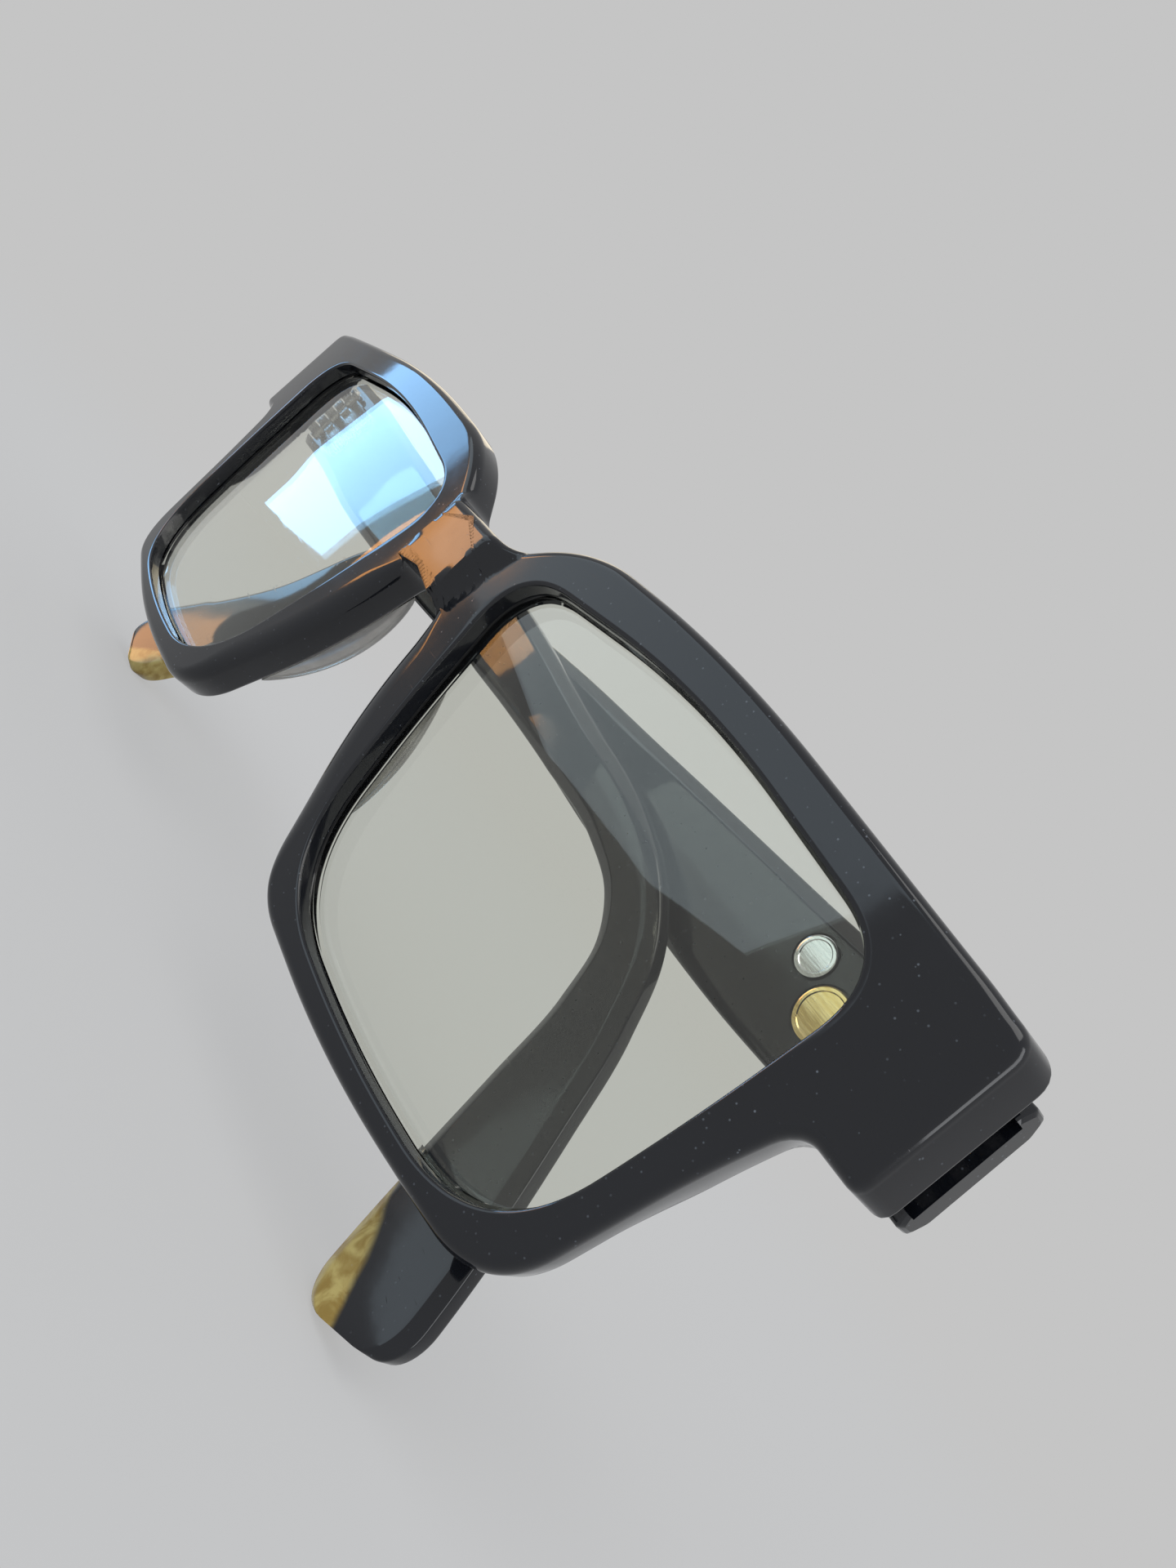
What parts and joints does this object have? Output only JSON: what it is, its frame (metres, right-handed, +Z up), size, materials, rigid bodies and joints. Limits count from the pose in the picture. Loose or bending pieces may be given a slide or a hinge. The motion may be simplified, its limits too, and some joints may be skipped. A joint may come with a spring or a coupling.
{
  "type": "sunglasses",
  "caption": "Full-rim black acetate sunglasses with lightly tinted lenses, a raised bridge, built-up nose pads and folded temples on knuckle hinges.",
  "frame": {"origin": "under the middle of the folded object's box, at its lowest point", "axes": "+X to the wearer's left, +Y back towards the wearer, +Z up to the brow; the lenses face -Y"},
  "size_m": [0.1452, 0.0254, 0.0572],
  "materials": {
    "black_acetate": "polished, with light dust",
    "tinted_lens": "clear light olive tint",
    "pad_acetate": "polished, slightly translucent",
    "hinge_steel": "satin",
    "core_wire": "drawn",
    "silver_disc": "polished",
    "gold_disc": "polished"
  },
  "bodies": {
    "front": {"front_frame": "black_acetate", "lens_left": "tinted_lens", "lens_right": "tinted_lens", "nose_pad_left": "pad_acetate", "nose_pad_right": "pad_acetate", "hinge_front_leaf_left": "hinge_steel", "hinge_front_leaf_right": "hinge_steel", "hinge_screw_left": "hinge_steel", "hinge_screw_right": "hinge_steel"},
    "left_temple": {"temple_left": "black_acetate", "temple_core_left": "core_wire", "hinge_temple_leaf_left": "hinge_steel", "temple_disc_silver": "silver_disc", "temple_disc_gold": "gold_disc"},
    "right_temple": {"temple_right": "black_acetate", "temple_core_right": "core_wire", "hinge_temple_leaf_right": "hinge_steel"}
  },
  "joints": [
    {"name": "left_hinge", "type": "hinge", "parent": "front", "child": "left_temple", "pos_m": [0.06824, 0.00512, 0.04462], "axis": [0, 0, -1], "range_deg": [0, 88]},
    {"name": "right_hinge", "type": "hinge", "parent": "front", "child": "right_temple", "pos_m": [-0.06824, 0.00512, 0.04462], "axis": [0, 0, 1], "range_deg": [0, 0.25]}
  ]
}
